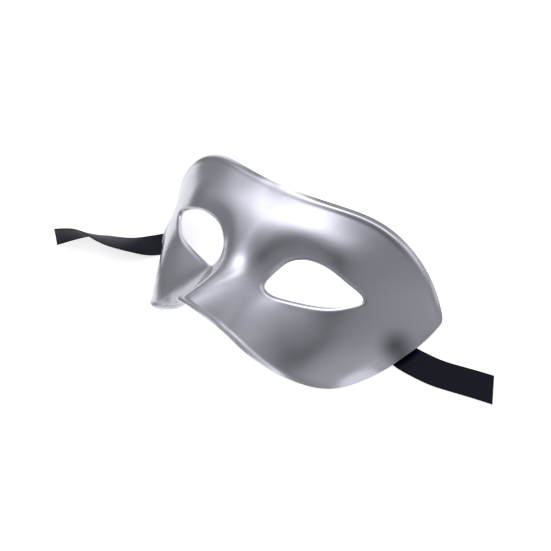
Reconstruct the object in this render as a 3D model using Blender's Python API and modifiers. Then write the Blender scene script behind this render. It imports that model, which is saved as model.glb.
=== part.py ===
"""Venetian half mask with its two ribbon ties, lying face up on a table.

X runs to the wearer's left, Y to the brow and Z up out of the face. The origin is on the table,
below the middle of the shell. Everything is in metres.
"""
import math
from collections import namedtuple

import bmesh
import bpy
import numpy as np

# The moulded shell, without its edges' roundings
HALF_WIDTH = 0.088
HALF_HEIGHT = 0.038
DEPTH = 0.050
WALL = 0.0012

# The eye holes, each measured from its own middle
EYE_ACROSS = 0.0385
EYE_UP = -0.001
EYE_HALF_LENGTH = 0.0225
EYE_HALF_HEIGHT = 0.0100
EYE_LIP_WIDTH = 0.0020
EYE_LIP_DROP = 0.0010

# The outer edge: a bead that rolls back at the brow, and a lip that turns out at the cheeks
BEAD_WIDTH = 0.0045
BEAD_RISE = 0.0004
BEAD_DROP = 0.0012
LIP_WIDTH = 0.0026
LIP_RISE = 0.0009

# The ribbon ties
RIBBON_WIDTH = 0.0116
RIBBON_WALL = 0.001
RIBBON_GAP = 0.0004
RIBBON_BEND = 0.0012
RIBBON_STEP = 0.002
RIBBON_STRIPS = 4

# How finely the sheet is divided: rows of faces from each eye hole out to the edge, and the
# spacing of the points along the outer edge and the middle line
RINGS = 14
EDGE_STEP = 0.0045
SAMPLES = np.linspace(0, 1, 400)
LEAD = 3
SLOPE_STEP = 0.0001
MERGE = 0.00001

Coat = namedtuple("Coat", "colour roughness metallic")
SILVER = Coat(colour=(0.55, 0.55, 0.58), roughness=0.3, metallic=1)
SATIN = Coat(colour=(0.012, 0.012, 0.02), roughness=0.5, metallic=0)

Edge = namedtuple("Edge", "across up roll")
Hole = namedtuple("Hole", "across up")
Section = namedtuple("Section", "across foot cheek under eye lid brow forehead crown")
Run = namedtuple("Run", "out up turn")


# The half mask's edge as it lies, from the middle of the top, round the temple, to the nose:
# shares of the half width and half height, and how far it rolls back (1) or turns out (-1)
MASK_EDGE = (
    Edge(0.000, 0.912, 0.3),
    Edge(0.200, 0.934, 0.6),
    Edge(0.410, 0.987, 1.0),
    Edge(0.595, 1.007, 1.0),
    Edge(0.765, 0.928, 1.0),
    Edge(0.905, 0.745, 0.9),
    Edge(0.988, 0.487, 0.6),
    Edge(1.000, 0.396, 0.2),
    Edge(0.993, 0.326, 0.0),
    Edge(0.913, -0.130, -1.4),
    Edge(0.855, -0.334, -0.8),
    Edge(0.790, -0.550, 0.1),
    Edge(0.636, -0.928, -0.5),
    Edge(0.489, -1.007, -0.9),
    Edge(0.290, -0.973, -1.0),
    Edge(0.150, -0.896, -1.0),
    Edge(0.000, -0.865, -1.0),
)

# The eye hole's edge from its middle, clockwise from the nose's side: shares of its half sizes
EYE_HOLE = (
    Hole(-0.840, 0.293),
    Hole(-0.365, 0.993),
    Hole(0.090, 1.098),
    Hole(0.730, 0.903),
    Hole(1.000, 0.677),
    Hole(0.845, 0.258),
    Hole(0.465, -0.276),
    Hole(-0.080, -0.629),
    Hole(-0.515, -0.836),
    Hole(-0.965, -0.759),
)

# Heights of the face as shares of the depth: a row for each upright section, from the middle of
# the nose to the temple, and a column for each level, from the foot of the cheeks to the crown
LEVELS = (-1.0, -0.7, -0.4, -0.1, 0.2, 0.45, 0.7, 1.0)
SECTIONS = (
    Section(0.00, 1.094, 0.938, 0.801, 0.701, 0.713, 0.723, 0.701, 0.707),
    Section(0.07, 0.984, 0.856, 0.757, 0.683, 0.703, 0.721, 0.701, 0.699),
    Section(0.14, 0.758, 0.706, 0.655, 0.625, 0.684, 0.715, 0.699, 0.692),
    Section(0.21, 0.662, 0.625, 0.576, 0.550, 0.649, 0.705, 0.692, 0.678),
    Section(0.30, 0.588, 0.548, 0.519, 0.524, 0.607, 0.685, 0.677, 0.659),
    Section(0.42, 0.453, 0.464, 0.473, 0.493, 0.573, 0.650, 0.646, 0.630),
    Section(0.55, 0.327, 0.394, 0.423, 0.457, 0.531, 0.594, 0.589, 0.580),
    Section(0.68, 0.047, 0.235, 0.334, 0.373, 0.429, 0.483, 0.504, 0.515),
    Section(0.82, -0.618, -0.295, 0.053, 0.205, 0.264, 0.326, 0.373, 0.403),
    Section(0.92, -1.058, -1.010, -0.288, 0.023, 0.101, 0.176, 0.246, 0.256),
    Section(1.00, -1.376, -1.837, -0.521, -0.134, -0.050, 0.038, 0.118, 0.120),
)

# Each ribbon's middle line from its glued end inside the shell to its cut end: how far out of
# the place where it passes under the edge, how far up, in metres, and its turn in degrees
LEFT_ROUTE = (
    Run(-0.0140, -0.0031, 0),
    Run(-0.0070, -0.0041, 0),
    Run(0.0000, -0.0051, 0),
    Run(0.0080, -0.0054, 0),
    Run(0.0160, -0.0053, 0),
    Run(0.0270, -0.0040, 0),
    Run(0.0370, -0.0025, 0),
    Run(0.0460, -0.0013, 0),
)
RIGHT_ROUTE = (
    Run(-0.0150, -0.0021, 0),
    Run(-0.0080, -0.0037, 0),
    Run(-0.0013, -0.0060, 0),
    Run(0.0065, -0.0102, -4),
    Run(0.0143, -0.0138, -24),
    Run(0.0221, -0.0164, -38),
    Run(0.0350, -0.0188, -54),
    Run(0.0460, -0.0204, -75),
    Run(0.0570, -0.0248, -91),
    Run(0.0654, -0.0294, -101),
)
LEFT_CUT = -0.42
RIGHT_CUT = 0.60


def curve_weights(knots, places):
    """Share of each knot's value at each place, on one smooth curve through the knots."""
    knots = np.asarray(knots, float)
    gap = np.diff(knots)
    count = len(knots)
    left = np.eye(count)
    right = np.zeros((count, count))
    for k in range(1, count - 1):
        left[k, k - 1:k + 2] = gap[k - 1], 2 * (gap[k - 1] + gap[k]), gap[k]
        right[k, k - 1:k + 2] = 6 / gap[k - 1], -6 / gap[k - 1] - 6 / gap[k], 6 / gap[k]
    bend = np.linalg.solve(left, right)
    span = np.clip(np.searchsorted(knots, places) - 1, 0, count - 2)
    after = (places - knots[span]) / gap[span]
    before = 1 - after
    one = np.eye(count)
    weights = before[:, None] * one[span] + after[:, None] * one[span + 1]
    weights += ((before ** 3 - before) * gap[span] ** 2 / 6)[:, None] * bend[span]
    weights += ((after ** 3 - after) * gap[span] ** 2 / 6)[:, None] * bend[span + 1]
    return weights


def smooth_path(rows, places):
    """Points at shares of a smooth curve through rows, whose first and last few only lead it."""
    run = np.hypot(*np.diff(rows[:, :2], axis=0).T)
    along = np.concatenate([[0], np.cumsum(run)])
    start = along[LEAD]
    end = along[-1 - LEAD]
    return curve_weights(along, start + (end - start) * places) @ rows


def mask_edge(places):
    """Across, up and roll at shares of the half mask's edge, from the top to the nose."""
    rows = np.array(MASK_EDGE) * (HALF_WIDTH, HALF_HEIGHT, 1)
    other = rows * (-1, 1, 1)
    return smooth_path(np.vstack([other[LEAD:0:-1], rows, other[-2:-2 - LEAD:-1]]), places)


def hole_edge(places):
    """Across and up at shares of the way round the eye hole's edge, from its middle."""
    rows = np.array(EYE_HOLE) * (EYE_HALF_LENGTH, EYE_HALF_HEIGHT)
    return smooth_path(np.vstack([rows[-LEAD:], rows, rows[:LEAD + 1]]), places)


def height(x, y):
    """Height of the sheet's front over the table, without the roundings of its edges."""
    knots = np.array([row.across for row in SECTIONS])
    both = np.concatenate([-knots[:0:-1], knots])
    weights = curve_weights(both, np.abs(x) / HALF_WIDTH)
    half = weights[:, len(knots) - 1:].copy()
    half[:, 1:] += weights[:, :len(knots) - 1][:, ::-1]
    levels = curve_weights(LEVELS, y / HALF_HEIGHT)
    face = np.array([row[1:] for row in SECTIONS])
    return DEPTH * np.einsum("pk,kl,pl->p", half, face, levels)


def facing(x, y):
    """Unit vectors that point out of the sheet's front."""
    slope_x = (height(x + SLOPE_STEP, y) - height(x - SLOPE_STEP, y)) / (2 * SLOPE_STEP)
    slope_y = (height(x, y + SLOPE_STEP) - height(x, y - SLOPE_STEP)) / (2 * SLOPE_STEP)
    out = np.column_stack([-slope_x, -slope_y, np.ones_like(x)])
    return out / np.linalg.norm(out, axis=1)[:, None]


def edge_forms(x, y):
    """How far the beads and lips stand out of the plain sheet near its edges."""
    rim = mask_edge(SAMPLES)
    far = np.hypot(x[:, None] - rim[:, 0], y[:, None] - rim[:, 1])
    near = far.argmin(axis=1)
    inset = far[np.arange(len(x)), near]
    roll = rim[near, 2]
    bead = np.clip(1 - inset / BEAD_WIDTH, 0, 1)
    bead = BEAD_RISE * np.sin(math.pi * bead) ** 2 - BEAD_DROP * bead ** 3
    lip = LIP_RISE * np.clip(1 - inset / LIP_WIDTH, 0, 1) ** 2
    hole = hole_edge(SAMPLES) + (EYE_ACROSS, EYE_UP)
    inset = np.hypot(x[:, None] - hole[:, 0], y[:, None] - hole[:, 1]).min(axis=1)
    turn_in = EYE_LIP_DROP * np.clip(1 - inset / EYE_LIP_WIDTH, 0, 1) ** 2
    return np.clip(roll, 0, 1) * bead + np.clip(-roll, 0, None) * lip - turn_in


def half_sheet():
    """Rows of points over the half sheet, ring by ring from the eye hole out to the edge."""
    length = np.hypot(*np.diff(mask_edge(SAMPLES)[:, :2], axis=0).T).sum()
    rim = mask_edge(np.linspace(0, 1, round(length / EDGE_STEP)))[:, :2]
    rim[[0, -1], 0] = 0
    tall = rim[0, 1] - rim[-1, 1]
    climb = np.linspace(rim[-1, 1], rim[0, 1], round(tall / EDGE_STEP))[1:-1]
    outer = np.vstack([rim, np.column_stack([np.zeros_like(climb), climb])])
    middle = np.array([EYE_ACROSS, EYE_UP])
    hole = hole_edge(SAMPLES)[1:]
    bearing = np.arctan2(hole[:, 1], hole[:, 0])
    order = np.argsort(bearing)
    toward = outer - middle
    reach = np.hypot(*toward.T)
    hole_reach = np.interp(np.arctan2(toward[:, 1], toward[:, 0]), bearing[order],
                           np.hypot(*hole[order].T), period=2 * math.pi)
    inner = middle + toward * (hole_reach / reach)[:, None]
    share = (1 - np.cos(math.pi * np.arange(RINGS + 1) / RINGS)) / 2
    plan = inner + share[:, None, None] * (outer - inner)
    x, y = plan.reshape(-1, 2).T
    points = np.column_stack([x, y, height(x, y)]) + facing(x, y) * edge_forms(x, y)[:, None]
    return points.reshape(RINGS + 1, len(outer), 3)


def finish(name, mesh, coat):
    """Puts a mesh in the mask's collection as a named object with its own material."""
    material = bpy.data.materials.new(name)
    material.use_nodes = True
    shader = material.node_tree.nodes["Principled BSDF"]
    shader.inputs["Base Color"].default_value = (*coat.colour, 1)
    shader.inputs["Roughness"].default_value = coat.roughness
    shader.inputs["Metallic"].default_value = coat.metallic
    mesh.materials.append(material)
    mesh.shade_smooth()
    piece = bpy.data.objects.new(name, mesh)
    collection.objects.link(piece)
    return piece


def loft(name, rows, closed):
    """One sheet of four-sided faces through rows of points, front side up."""
    shape = bmesh.new()
    rings = [[shape.verts.new(point) for point in row] for row in rows]
    for inner, outer in zip(rings, rings[1:]):
        count = len(inner)
        for k in range(count if closed else count - 1):
            after = (k + 1) % count
            shape.faces.new((inner[k], inner[after], outer[after], outer[k]))
    mesh = bpy.data.meshes.new(name)
    shape.to_mesh(mesh)
    shape.free()
    return mesh


def make_shell():
    """The moulded shell, set down with its lowest edges on the table, in the middle."""
    shell = finish("mask_shell", loft("mask_shell", half_sheet(), closed=True), SILVER)
    halves = shell.modifiers.new("other half", "MIRROR")
    halves.merge_threshold = MERGE
    wall = shell.modifiers.new("wall", "SOLIDIFY")
    wall.thickness = WALL
    wall.offset = -1
    bpy.context.view_layer.update()
    solid = shell.evaluated_get(bpy.context.evaluated_depsgraph_get())
    low = np.min(solid.bound_box, axis=0)
    high = np.max(solid.bound_box, axis=0)
    shell.location = (0, -(low[1] + high[1]) / 2, -low[2])
    return shell


def ribbon_rows(route, cut, table):
    """Rows of points across a ribbon, which lies on the wall's inside and then on the table."""
    edge = mask_edge(SAMPLES)
    lower = edge[edge[:, 0].argmax():]
    rows = np.array(route)
    crossing = np.interp(0, rows[:, 0], rows[:, 1])
    rows[:, 0] += np.interp(-crossing, -lower[:, 1], lower[:, 0])
    run = np.concatenate([[0], np.cumsum(np.hypot(*np.diff(rows[:, :2], axis=0).T))])
    stations = np.linspace(0, 1, round(run[-1] / RIBBON_STEP))
    across = np.linspace(-0.5, 0.5, RIBBON_STRIPS + 1) * RIBBON_WIDTH
    lines = []
    for offset in across:
        places = stations * (run[-1] + cut * offset)
        x, y, turn = (curve_weights(run, places) @ rows).T
        turn = np.radians(turn)
        heading = np.arctan2(np.gradient(y), np.gradient(x))
        x = x - offset * np.cos(turn) * np.sin(heading)
        y = y + offset * np.cos(turn) * np.cos(heading)
        covered = np.minimum(x, HALF_WIDTH)
        inside = (WALL + RIBBON_GAP + RIBBON_WALL / 2) / facing(covered, y)[:, 2]
        wall = height(covered, y) - inside
        lean = (RIBBON_WIDTH / 2) * np.abs(np.sin(turn)) + offset * np.sin(turn)
        laid = table + RIBBON_WALL / 2 + lean
        bend = np.clip(RIBBON_BEND - np.abs(wall - laid), 0, None) ** 2 / (4 * RIBBON_BEND)
        z = np.maximum(wall, laid) + bend
        lines.append(np.column_stack([x, y, z]))
    return np.stack(lines, axis=1)


def make_ribbon(name, side, route, cut, shell):
    """One satin tie, glued inside the lower temple edge and laid out on the table."""
    rows = ribbon_rows(route, cut, -shell.location.z) * (side, 1, 1)
    ribbon = finish(name, loft(name, rows, closed=False), SATIN)
    wall = ribbon.modifiers.new("wall", "SOLIDIFY")
    wall.thickness = RIBBON_WALL
    wall.offset = 0
    ribbon.location = shell.location


for old in list(bpy.data.objects):
    bpy.data.objects.remove(old)
collection = bpy.data.collections.new("venetian half mask")
bpy.context.scene.collection.children.link(collection)
mask_shell = make_shell()
make_ribbon("ribbon_left", 1, LEFT_ROUTE, LEFT_CUT, mask_shell)
make_ribbon("ribbon_right", -1, RIGHT_ROUTE, RIGHT_CUT, mask_shell)
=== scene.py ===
import math
from collections import namedtuple

import bpy
import numpy as np
from mathutils import Matrix, Vector


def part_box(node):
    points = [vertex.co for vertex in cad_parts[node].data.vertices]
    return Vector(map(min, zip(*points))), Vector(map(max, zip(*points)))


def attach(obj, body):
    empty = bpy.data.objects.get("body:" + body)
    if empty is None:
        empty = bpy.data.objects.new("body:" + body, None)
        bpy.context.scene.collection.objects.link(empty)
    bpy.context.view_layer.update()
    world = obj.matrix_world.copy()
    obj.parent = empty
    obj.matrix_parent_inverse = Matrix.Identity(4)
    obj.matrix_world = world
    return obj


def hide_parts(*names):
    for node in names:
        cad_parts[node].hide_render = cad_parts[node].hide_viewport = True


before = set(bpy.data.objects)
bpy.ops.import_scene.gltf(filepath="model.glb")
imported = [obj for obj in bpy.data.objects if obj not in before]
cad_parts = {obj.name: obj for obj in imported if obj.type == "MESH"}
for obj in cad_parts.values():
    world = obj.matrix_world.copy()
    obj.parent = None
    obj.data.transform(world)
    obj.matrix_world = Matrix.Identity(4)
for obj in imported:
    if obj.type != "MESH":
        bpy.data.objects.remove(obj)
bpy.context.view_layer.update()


# The mask lies face up on a table and is seen from above the wearer's left temple, through a long
# lens that is turned about its own axis, so that the brow runs up to the left in the picture.
CAMERA_TARGET = Vector((-0.00386, 0.00211, 0.00406))
CAMERA_DISTANCE = 0.7501
CAMERA_AZIMUTH = math.radians(80.27)
CAMERA_ELEVATION = math.radians(47.38)
CAMERA_ROLL = math.radians(-51.22)
CAMERA_LENS = 107.84
SENSOR_WIDTH = 36

camera = bpy.data.objects.new("camera", bpy.data.cameras.new("camera"))
bpy.context.scene.collection.objects.link(camera)
camera.data.lens = CAMERA_LENS
camera.data.sensor_width = SENSOR_WIDTH
turned = Matrix.Rotation(CAMERA_AZIMUTH, 4, "Z")
turned = turned @ Matrix.Rotation(math.pi / 2 - CAMERA_ELEVATION, 4, "X")
away = Matrix.Translation((0, 0, CAMERA_DISTANCE))
camera.matrix_world = (Matrix.Translation(CAMERA_TARGET) @ turned
                       @ Matrix.Rotation(CAMERA_ROLL, 4, "Z") @ away)
bpy.context.scene.camera = camera


# The shell is one sheet of plastic, about a millimetre thick, drawn down hot over a mould of the
# upper face and trimmed. Its brow edge rolls back behind a fine bead, its cheek and nose edge
# turns out as a narrow lip, and a lip turns in round each eye hole. Sizes are in metres.
HALF_WIDTH = 0.088
HALF_HEIGHT = 0.038
DEPTH = 0.050
WALL = 0.0012
EYE_ACROSS = 0.0385
EYE_UP = -0.001
EYE_HALF_LENGTH = 0.0225
EYE_HALF_HEIGHT = 0.0100
EYE_LIP_WIDTH = 0.0020
EYE_LIP_DROP = 0.0010
BEAD_WIDTH = 0.0045
BEAD_RISE = 0.0004
BEAD_DROP = 0.0012
LIP_WIDTH = 0.0026
LIP_RISE = 0.0009
SPOKES = 280
RINGS = 60
EVENNESS = 0.4
SAMPLES = np.linspace(0, 1, 1200)
LEAD = 3
SLOPE_STEP = 0.0001
MERGE = 0.00001
SHARP_ANGLE = math.radians(50)

Edge = namedtuple("Edge", "across up roll")
Hole = namedtuple("Hole", "across up")
Section = namedtuple("Section", "across foot cheek under eye lid brow forehead crown")

# The half mask's edge as it lies, from the middle of the top, round the temple, to the nose:
# shares of the half width and half height, and how far it rolls back (1) or turns out (-1)
MASK_EDGE = (
    Edge(0.000, 0.912, 0.3),
    Edge(0.200, 0.934, 0.6),
    Edge(0.410, 0.987, 1.0),
    Edge(0.595, 1.007, 1.0),
    Edge(0.765, 0.928, 1.0),
    Edge(0.905, 0.745, 0.9),
    Edge(0.988, 0.487, 0.6),
    Edge(1.000, 0.396, 0.2),
    Edge(0.993, 0.326, 0.0),
    Edge(0.913, -0.130, -1.4),
    Edge(0.855, -0.334, -0.8),
    Edge(0.790, -0.550, 0.1),
    Edge(0.636, -0.928, -0.5),
    Edge(0.489, -1.007, -0.9),
    Edge(0.290, -0.973, -1.0),
    Edge(0.150, -0.896, -1.0),
    Edge(0.000, -0.865, -1.0),
)

# The eye hole's edge from its middle, clockwise from the nose's side: shares of its half sizes
EYE_HOLE = (
    Hole(-0.840, 0.293),
    Hole(-0.365, 0.993),
    Hole(0.090, 1.098),
    Hole(0.730, 0.903),
    Hole(1.000, 0.677),
    Hole(0.845, 0.258),
    Hole(0.465, -0.276),
    Hole(-0.080, -0.629),
    Hole(-0.515, -0.836),
    Hole(-0.965, -0.759),
)

# Heights of the face as shares of the depth: a row for each upright section, from the middle of
# the nose to the temple, and a column for each level, from the foot of the cheeks to the crown
LEVELS = (-1.0, -0.7, -0.4, -0.1, 0.2, 0.45, 0.7, 1.0)
SECTIONS = (
    Section(0.00, 1.094, 0.938, 0.801, 0.701, 0.713, 0.723, 0.701, 0.707),
    Section(0.07, 0.984, 0.856, 0.757, 0.683, 0.703, 0.721, 0.701, 0.699),
    Section(0.14, 0.758, 0.706, 0.655, 0.625, 0.684, 0.715, 0.699, 0.692),
    Section(0.21, 0.662, 0.625, 0.576, 0.550, 0.649, 0.705, 0.692, 0.678),
    Section(0.30, 0.588, 0.548, 0.519, 0.524, 0.607, 0.685, 0.677, 0.659),
    Section(0.42, 0.453, 0.464, 0.473, 0.493, 0.573, 0.650, 0.646, 0.630),
    Section(0.55, 0.327, 0.394, 0.423, 0.457, 0.531, 0.594, 0.589, 0.580),
    Section(0.68, 0.047, 0.235, 0.334, 0.373, 0.429, 0.483, 0.504, 0.515),
    Section(0.82, -0.618, -0.295, 0.053, 0.205, 0.264, 0.326, 0.373, 0.403),
    Section(0.92, -1.058, -1.010, -0.288, 0.023, 0.101, 0.176, 0.246, 0.256),
    Section(1.00, -1.376, -1.837, -0.521, -0.134, -0.050, 0.038, 0.118, 0.120),
)


def curve_weights(knots, places):
    """Share of each knot's value at each place, on one smooth curve through the knots."""
    knots = np.asarray(knots, float)
    gap = np.diff(knots)
    count = len(knots)
    left = np.eye(count)
    right = np.zeros((count, count))
    for k in range(1, count - 1):
        left[k, k - 1:k + 2] = gap[k - 1], 2 * (gap[k - 1] + gap[k]), gap[k]
        right[k, k - 1:k + 2] = 6 / gap[k - 1], -6 / gap[k - 1] - 6 / gap[k], 6 / gap[k]
    bend = np.linalg.solve(left, right)
    span = np.clip(np.searchsorted(knots, places) - 1, 0, count - 2)
    after = (places - knots[span]) / gap[span]
    before = 1 - after
    one = np.eye(count)
    weights = before[:, None] * one[span] + after[:, None] * one[span + 1]
    weights += ((before ** 3 - before) * gap[span] ** 2 / 6)[:, None] * bend[span]
    weights += ((after ** 3 - after) * gap[span] ** 2 / 6)[:, None] * bend[span + 1]
    return weights


def smooth_path(rows, places):
    """Points at shares of a smooth curve through rows, whose first and last few only lead it."""
    run = np.hypot(*np.diff(rows[:, :2], axis=0).T)
    along = np.concatenate([[0], np.cumsum(run)])
    start = along[LEAD]
    end = along[-1 - LEAD]
    return curve_weights(along, start + (end - start) * places) @ rows


def mask_edge(places):
    """Across, up and roll at shares of the half mask's edge, from the top to the nose."""
    rows = np.array(MASK_EDGE) * (HALF_WIDTH, HALF_HEIGHT, 1)
    other = rows * (-1, 1, 1)
    return smooth_path(np.vstack([other[LEAD:0:-1], rows, other[-2:-2 - LEAD:-1]]), places)


def hole_edge(places):
    """Across and up at shares of the way round the eye hole's edge, from its middle."""
    rows = np.array(EYE_HOLE) * (EYE_HALF_LENGTH, EYE_HALF_HEIGHT)
    return smooth_path(np.vstack([rows[-LEAD:], rows, rows[:LEAD + 1]]), places)


def height(x, y):
    """Height of the sheet's front over the table, without the roundings of its edges."""
    knots = np.array([row.across for row in SECTIONS])
    both = np.concatenate([-knots[:0:-1], knots])
    weights = curve_weights(both, np.abs(x) / HALF_WIDTH)
    half = weights[:, len(knots) - 1:].copy()
    half[:, 1:] += weights[:, :len(knots) - 1][:, ::-1]
    levels = curve_weights(LEVELS, y / HALF_HEIGHT)
    face = np.array([row[1:] for row in SECTIONS])
    return DEPTH * np.einsum("pk,kl,pl->p", half, face, levels)


def facing(x, y):
    """Unit vectors that point out of the sheet's front."""
    slope_x = (height(x + SLOPE_STEP, y) - height(x - SLOPE_STEP, y)) / (2 * SLOPE_STEP)
    slope_y = (height(x, y + SLOPE_STEP) - height(x, y - SLOPE_STEP)) / (2 * SLOPE_STEP)
    out = np.column_stack([-slope_x, -slope_y, np.ones_like(x)])
    return out / np.linalg.norm(out, axis=1)[:, None]


def edge_forms(x, y):
    """How far the beads and lips stand out of the plain sheet near its edges."""
    rim = mask_edge(SAMPLES)
    far = np.hypot(x[:, None] - rim[:, 0], y[:, None] - rim[:, 1])
    near = far.argmin(axis=1)
    inset = far[np.arange(len(x)), near]
    roll = rim[near, 2]
    bead = np.clip(1 - inset / BEAD_WIDTH, 0, 1)
    bead = BEAD_RISE * np.sin(math.pi * bead) ** 2 - BEAD_DROP * bead ** 3
    lip = LIP_RISE * np.clip(1 - inset / LIP_WIDTH, 0, 1) ** 2
    hole = hole_edge(SAMPLES) + (EYE_ACROSS, EYE_UP)
    inset = np.hypot(x[:, None] - hole[:, 0], y[:, None] - hole[:, 1]).min(axis=1)
    turn_in = EYE_LIP_DROP * np.clip(1 - inset / EYE_LIP_WIDTH, 0, 1) ** 2
    return np.clip(roll, 0, 1) * bead + np.clip(-roll, 0, None) * lip - turn_in


def half_sheet():
    """Points over the half sheet, ring by ring from the eye hole out to the edge."""
    rim = mask_edge(SAMPLES)[:, :2]
    rim[[0, -1], 0] = 0
    climb = np.linspace(rim[-1, 1], rim[0, 1], len(rim))[1:]
    outline = np.vstack([rim, np.column_stack([np.zeros_like(climb), climb])])
    along = np.concatenate([[0], np.cumsum(np.hypot(*np.diff(outline, axis=0).T))])
    edge_share = along[len(rim) - 1] / along[-1]
    edge_spokes = round(edge_share * SPOKES)
    stations = np.concatenate([
        np.linspace(0, edge_share, edge_spokes, endpoint=False),
        np.linspace(edge_share, 1, SPOKES - edge_spokes + 1)])
    outer = np.column_stack([np.interp(stations * along[-1], along, column) for column in outline.T])
    middle = np.array([EYE_ACROSS, EYE_UP])
    hole = hole_edge(SAMPLES)[1:]
    bearing = np.arctan2(hole[:, 1], hole[:, 0])
    order = np.argsort(bearing)
    toward = outer - middle
    reach = np.hypot(*toward.T)
    hole_reach = np.interp(np.arctan2(toward[:, 1], toward[:, 0]), bearing[order],
                           np.hypot(*hole[order].T), period=2 * math.pi)
    inner = middle + toward * (hole_reach / reach)[:, None]
    even = np.arange(RINGS + 1) / RINGS
    share = EVENNESS * even + (1 - EVENNESS) * (1 - np.cos(math.pi * even)) / 2
    plan = inner + share[:, None, None] * (outer - inner)
    x, y = plan.reshape(-1, 2).T
    return np.column_stack([x, y, height(x, y)]) + facing(x, y) * edge_forms(x, y)[:, None]


def new_grid(name, across, along, points):
    """A plain grid, whose corners then go to the points of the formed sheet."""
    bpy.ops.object.select_all(action="DESELECT")
    bpy.ops.mesh.primitive_grid_add(x_subdivisions=across, y_subdivisions=along)
    piece = bpy.context.object
    piece.name = name
    piece.data.vertices.foreach_set("co", points.ravel())
    bpy.ops.object.mode_set(mode="EDIT")
    bpy.ops.mesh.select_all(action="SELECT")
    bpy.ops.mesh.remove_doubles(threshold=MERGE)
    bpy.ops.object.mode_set(mode="OBJECT")
    return piece


shell = new_grid("moulded_shell", SPOKES, RINGS, half_sheet())
halves = shell.modifiers.new("other half", "MIRROR")
halves.merge_threshold = MERGE
wall = shell.modifiers.new("wall", "SOLIDIFY")
wall.thickness = WALL
wall.offset = -1
for modifier in (halves, wall):
    bpy.ops.object.modifier_apply(modifier=modifier.name)
bpy.ops.object.shade_smooth_by_angle(angle=SHARP_ANGLE)
shift = Vector(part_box("mask_shell")[0]) - Vector(np.min(shell.bound_box, axis=0))
shell.location = (0, shift.y, shift.z)
bpy.ops.object.transform_apply()
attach(shell, "root")
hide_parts("mask_shell")


class Wire:
    """One value on its way through a material; arithmetic with it adds the Math nodes."""

    def __init__(self, tree, socket=None):
        self.tree = tree
        self.socket = socket

    def node(self, kind, inputs=(), output=0, **settings):
        """Adds a node, sets it, fills its sockets with values or links, and gives one output."""
        node = self.tree.nodes.new(kind)
        for name, value in settings.items():
            setattr(node, name, value)
        for name, value in dict(inputs).items():
            if isinstance(value, Wire):
                self.tree.links.new(value.socket, node.inputs[name])
            else:
                node.inputs[name].default_value = value
        return Wire(self.tree, node.outputs[output])

    def into(self, socket):
        """Ends the wire in a socket."""
        self.tree.links.new(self.socket, socket)

    def math(self, operation, second=0):
        """Adds one Math node."""
        return self.node("ShaderNodeMath", {0: self, 1: second}, operation=operation)

    def __add__(self, other):
        return self.math("ADD", other)

    def __sub__(self, other):
        return self.math("SUBTRACT", other)

    def __rsub__(self, other):
        return self * -1 + other

    def __mul__(self, other):
        return self.math("MULTIPLY", other)

    __radd__ = __add__
    __rmul__ = __mul__


def new_material(name, **constants):
    """A Principled material with its constant sockets set, and the start of its wires."""
    material = bpy.data.materials.new(name)
    material.use_nodes = True
    shader = material.node_tree.nodes["Principled BSDF"]
    for socket, value in constants.items():
        shader.inputs[socket.replace("_", " ")].default_value = value
    return material, shader, Wire(material.node_tree)


# The silver is lacquer with fine metal flakes, sprayed on, so its gloss drifts a little from place
# to place and its surface has a faint orange peel.
SILVER_DARK = (0.45, 0.455, 0.515, 1)
SILVER_LIGHT = (0.55, 0.555, 0.630, 1)
SILVER_ROUGHNESS = 0.21
SILVER_DRIFT = 0.06
FLAKES_PER_METRE = 2400
FLAKE_DETAIL = 1
PEEL_PER_METRE = 160
PEEL_DETAIL = 3
PEEL_HEIGHT = 0.0001
PEEL_STRENGTH = 0.15

# A painted reflection: a dark patch is painted into the silver beside the near temple, next to where
# the near tie is glued on behind it, and stands for the dark tie mirrored in the shell. The far
# temple has its own.
PAINTED_REFLECTION_PLACE = Vector((0.0775, -0.0035, 0.0060))
PAINTED_REFLECTION_RADIUS = 0.0105
PAINTED_REFLECTION_STRENGTH = 0.72
PAINTED_REFLECTION_COLOUR = (0, 0, 0, 1)

silver, silver_shader, wire = new_material("silver lacquer", Metallic=1.0)
place = wire.node("ShaderNodeTexCoord", output="Object")
flakes = wire.node("ShaderNodeTexNoise", {
    "Vector": place, "Scale": FLAKES_PER_METRE, "Detail": FLAKE_DETAIL})
peel = wire.node("ShaderNodeTexNoise", {
    "Vector": place, "Scale": PEEL_PER_METRE, "Detail": PEEL_DETAIL})
flaked = wire.node("ShaderNodeMix", {0: flakes, 6: SILVER_DARK, 7: SILVER_LIGHT}, output=2,
                   data_type="RGBA")
x, y, z = (wire.node("ShaderNodeSeparateXYZ", {"Vector": place}, output=axis) for axis in "XYZ")
left_place = wire.node("ShaderNodeCombineXYZ", {"X": x.math("ABSOLUTE"), "Y": y, "Z": z})
far_off = wire.node("ShaderNodeVectorMath", {0: left_place, 1: PAINTED_REFLECTION_PLACE}, output="Value",
                    operation="DISTANCE")
# Painted reflection of the dark tie: the silver's colour is darkened towards black within the radius
# round the place, on both temples.
painted_reflection = wire.node("ShaderNodeMapRange", {
    "Value": far_off, "From Min": PAINTED_REFLECTION_RADIUS, "From Max": 0, "To Max": PAINTED_REFLECTION_STRENGTH},
    interpolation_type="SMOOTHSTEP")
wire.node("ShaderNodeMix", {0: painted_reflection, 6: flaked, 7: PAINTED_REFLECTION_COLOUR}, output=2,
          data_type="RGBA").into(silver_shader.inputs["Base Color"])
(SILVER_ROUGHNESS + SILVER_DRIFT * peel).into(silver_shader.inputs["Roughness"])
wire.node("ShaderNodeBump", {
    "Height": peel, "Strength": PEEL_STRENGTH, "Distance": PEEL_HEIGHT}).into(
    silver_shader.inputs["Normal"])
shell.data.materials.clear()
shell.data.materials.append(silver)


# Each tie is a woven satin ribbon, glued inside the lower temple edge and laid out on the table,
# where its end is cut at a slant. The far one turns up on its lower edge and then over.
RIBBON_WIDTH = 0.0116
RIBBON_WALL = 0.0004
RIBBON_GAP = 0.0004
RIBBON_BEND = 0.0012
RIBBON_STATIONS = 160
RIBBON_STRIPS = 20

Run = namedtuple("Run", "out up turn")

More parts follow.
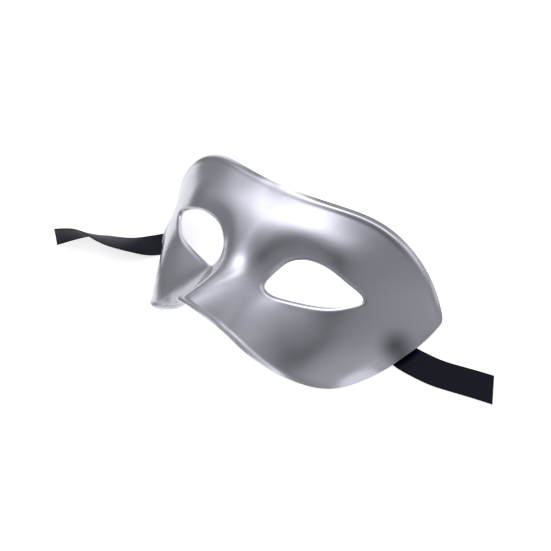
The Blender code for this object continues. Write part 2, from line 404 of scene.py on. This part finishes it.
# Each ribbon's middle line from its glued end inside the shell to its cut end: how far out of
# the place where it passes under the edge, how far up, in metres, and its turn in degrees
LEFT_ROUTE = (
    Run(-0.0140, -0.0031, 0),
    Run(-0.0070, -0.0041, 0),
    Run(0.0000, -0.0051, 0),
    Run(0.0080, -0.0054, 0),
    Run(0.0160, -0.0053, 0),
    Run(0.0270, -0.0040, 0),
    Run(0.0370, -0.0025, 0),
    Run(0.0460, -0.0013, 0),
)
RIGHT_ROUTE = (
    Run(-0.0150, -0.0021, 0),
    Run(-0.0080, -0.0037, 0),
    Run(-0.0013, -0.0060, 0),
    Run(0.0065, -0.0102, -4),
    Run(0.0143, -0.0138, -24),
    Run(0.0221, -0.0164, -38),
    Run(0.0350, -0.0188, -54),
    Run(0.0460, -0.0204, -75),
    Run(0.0570, -0.0248, -91),
    Run(0.0654, -0.0294, -101),
)
LEFT_CUT = -0.42
RIGHT_CUT = 0.60


def ribbon_points(route, cut, side):
    """Points of a ribbon, which lies on the wall's inside and then on the table."""
    edge = mask_edge(SAMPLES)
    lower = edge[edge[:, 0].argmax():]
    rows = np.array(route)
    crossing = np.interp(0, rows[:, 0], rows[:, 1])
    rows[:, 0] += np.interp(-crossing, -lower[:, 1], lower[:, 0])
    run = np.concatenate([[0], np.cumsum(np.hypot(*np.diff(rows[:, :2], axis=0).T))])
    lines = []
    for offset in np.linspace(-0.5, 0.5, RIBBON_STRIPS + 1) * RIBBON_WIDTH:
        places = np.linspace(0, run[-1] + cut * offset, RIBBON_STATIONS + 1)
        x, y, turn = (curve_weights(run, places) @ rows).T
        turn = np.radians(turn)
        heading = np.arctan2(np.gradient(y), np.gradient(x))
        x = x - offset * np.cos(turn) * np.sin(heading)
        y = y + offset * np.cos(turn) * np.cos(heading)
        covered = np.minimum(x, HALF_WIDTH)
        inside = (WALL + RIBBON_GAP + RIBBON_WALL / 2) / facing(covered, y)[:, 2]
        under = height(covered, y) - inside
        lean = (RIBBON_WIDTH / 2) * np.abs(np.sin(turn)) + offset * np.sin(turn)
        laid = RIBBON_WALL / 2 + lean - shift.z
        bend = np.clip(RIBBON_BEND - np.abs(under - laid), 0, None) ** 2 / (4 * RIBBON_BEND)
        lines.append(np.column_stack([x * side, y, np.maximum(under, laid) + bend]))
    return np.concatenate(lines) + (0, shift.y, shift.z)


def make_ribbon(name, node, side, route, cut):
    """One tie, with its flat length measured along its middle line."""
    points = ribbon_points(route, cut, side)
    ribbon = new_grid(name, RIBBON_STATIONS, RIBBON_STRIPS, points)
    wall = ribbon.modifiers.new("wall", "SOLIDIFY")
    wall.thickness = RIBBON_WALL
    wall.offset = 0
    bpy.ops.object.modifier_apply(modifier=wall.name)
    bpy.ops.object.mode_set(mode="EDIT")
    bpy.ops.mesh.select_all(action="SELECT")
    bpy.ops.mesh.normals_make_consistent(inside=False)
    bpy.ops.object.mode_set(mode="OBJECT")
    bpy.ops.object.shade_smooth_by_angle(angle=SHARP_ANGLE)
    ribbon.data.materials.append(satin)
    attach(ribbon, "root")
    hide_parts(node)


# The satin's long threads show as fine lines along it, with a plain woven band at each edge.
SATIN_DARK = (0.0014, 0.0016, 0.0080, 1)
SATIN_LIGHT = (0.0044, 0.0050, 0.0190, 1)
SATIN_ROUGHNESS = 0.40
SELVEDGE_ROUGHNESS = 0.65
SELVEDGE_SHARE = 0.44
SELVEDGE_SOFTNESS = 0.02
THREADS_ACROSS = 46
THREAD_HEIGHT = 0.00004
THREAD_STRENGTH = 0.3
SATIN_SHINE = 0.10

satin, satin_shader, wire = new_material("navy satin", Specular_IOR_Level=SATIN_SHINE)
woven = wire.node("ShaderNodeTexCoord", output="UV")
across = wire.node("ShaderNodeSeparateXYZ", {"Vector": woven}, output="Y")
threads = (across * (2 * math.pi * THREADS_ACROSS)).math("SINE") * 0.5 + 0.5
inset = (across - 0.5).math("ABSOLUTE")
selvedge = wire.node("ShaderNodeMapRange", {
    "Value": inset, "From Min": SELVEDGE_SHARE, "From Max": SELVEDGE_SHARE + SELVEDGE_SOFTNESS})
wire.node("ShaderNodeMix", {0: threads, 6: SATIN_DARK, 7: SATIN_LIGHT}, output=2,
          data_type="RGBA").into(satin_shader.inputs["Base Color"])
(SATIN_ROUGHNESS + (SELVEDGE_ROUGHNESS - SATIN_ROUGHNESS) * selvedge).into(
    satin_shader.inputs["Roughness"])
wire.node("ShaderNodeBump", {
    "Height": threads, "Strength": THREAD_STRENGTH, "Distance": THREAD_HEIGHT}).into(
    satin_shader.inputs["Normal"])


# The table is a plain white sheet, wider than the picture, lit from below so that it stays white
# in the mask's shade.
TABLE_SIZE = 0.64
TABLE_DROP = 0.0002
TABLE_WHITE = (0.9, 0.9, 0.9, 1)
TABLE_ROUGHNESS = 0.8
TABLE_LIGHT = (1, 1, 1, 1)
TABLE_GLOW = 0.66

bpy.ops.object.select_all(action="DESELECT")
bpy.ops.mesh.primitive_plane_add(size=TABLE_SIZE, location=(0, 0, -TABLE_DROP))
table = bpy.context.object
table.name = "table"
paper, paper_shader, wire = new_material(
    "white paper", Base_Color=TABLE_WHITE, Roughness=TABLE_ROUGHNESS,
    Emission_Color=TABLE_LIGHT, Emission_Strength=TABLE_GLOW)
table.data.materials.append(paper)

make_ribbon("near_ribbon", "ribbon_left", 1, LEFT_ROUTE, LEFT_CUT)
make_ribbon("far_ribbon", "ribbon_right", -1, RIGHT_ROUTE, RIGHT_CUT)


# The light is a plain grey tent, lit from outside, with soft round glows and three duller places.
# The main glow stands beyond the brow on the wearer's right, and weaker ones stand round the mask.
TENT_GREY = 0.41
TENT_COLOUR = (1.0, 1.0, 1.0, 1)

Glow = namedtuple("Glow", "azimuth elevation half_width strength")

# Directions from the mask and half widths are in degrees; a strength below zero takes light away
GLOWS = (
    Glow(140, 48, 15, 2.80),
    Glow(94, 49, 9, 1.80),
    Glow(60, 30, 18, 0.90),
    Glow(182, 41, 11, 0.45),
    Glow(-59, 12, 28, 0.20),
    Glow(146, 65, 10, -0.50),
    Glow(-113, 70, 17, -0.25),
    Glow(184, 12, 20, -0.12),
)

tent = bpy.data.worlds.new("tent")
bpy.context.scene.world = tent
tent.use_nodes = True
wire = Wire(tent.node_tree)
toward = wire.node("ShaderNodeTexCoord", output="Generated")
brightness = TENT_GREY
for glow in GLOWS:
    azimuth = math.radians(glow.azimuth)
    elevation = math.radians(glow.elevation)
    middle = Vector((math.cos(azimuth) * math.cos(elevation), math.sin(azimuth) * math.cos(elevation),
                     math.sin(elevation)))
    nearness = wire.node("ShaderNodeVectorMath", {0: toward, 1: middle}, output="Value",
                         operation="DOT_PRODUCT")
    tightness = math.log(2) / (1 - math.cos(math.radians(glow.half_width)))
    brightness = ((nearness - 1) * tightness).math("EXPONENT") * glow.strength + brightness
background = tent.node_tree.nodes["Background"]
background.inputs["Color"].default_value = TENT_COLOUR
brightness.into(background.inputs["Strength"])
bpy.context.scene.view_settings.view_transform = "Standard"
